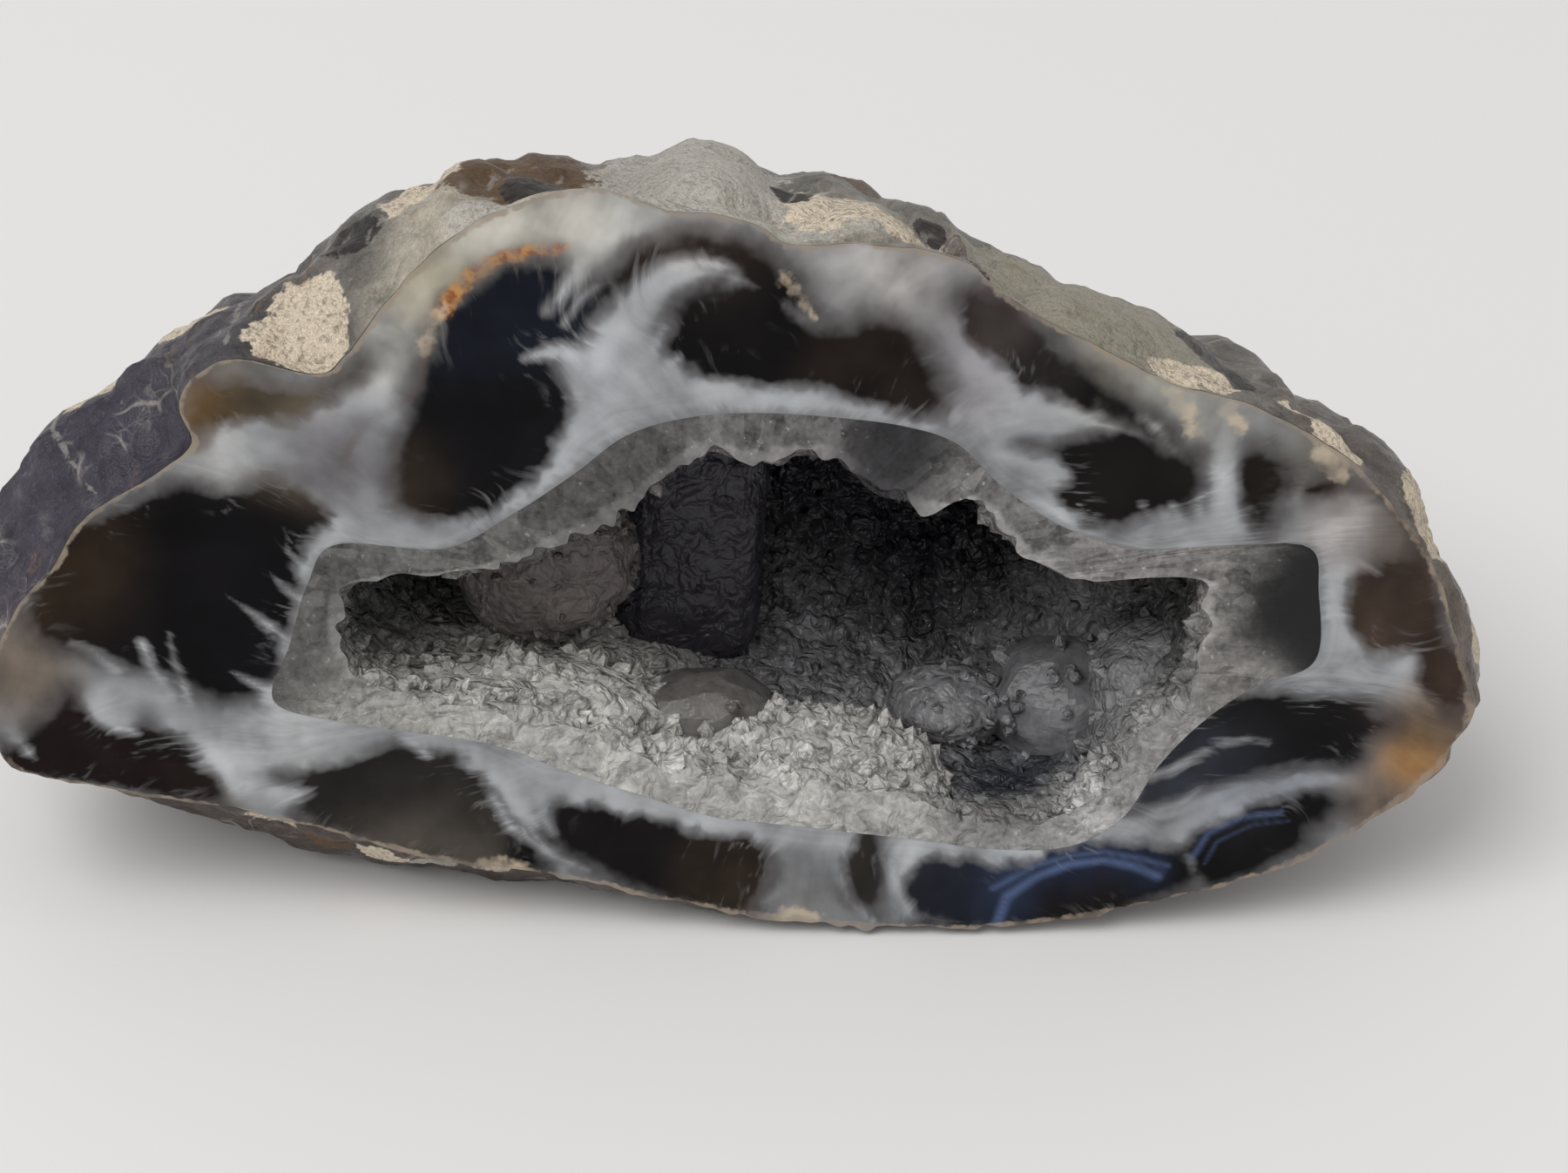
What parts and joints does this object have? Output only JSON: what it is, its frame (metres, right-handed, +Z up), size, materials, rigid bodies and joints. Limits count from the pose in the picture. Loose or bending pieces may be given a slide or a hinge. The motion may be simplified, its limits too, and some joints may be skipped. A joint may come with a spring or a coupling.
{
  "type": "agate geode",
  "caption": "Sawn and polished half of an agate geode: a rough oval stone with a flat banded face and a hollow lined by quartz crystals, leaning back on a small flat.",
  "frame": {"origin": "centre of the bounding box's underside, on the surface that the stone rests on", "axes": "+X to the right along the cut face, +Y from the cut face towards the back of the stone, +Z up"},
  "size_m": [0.0658, 0.027, 0.0335],
  "materials": {
    "agate": "polished on the cut face, rough and matt on the rind",
    "quartz": "clear to milky grey crystals, glossy"
  },
  "bodies": {
    "root": {"agate_stone": "agate", "quartz_crust": "quartz"}
  },
  "joints": []
}
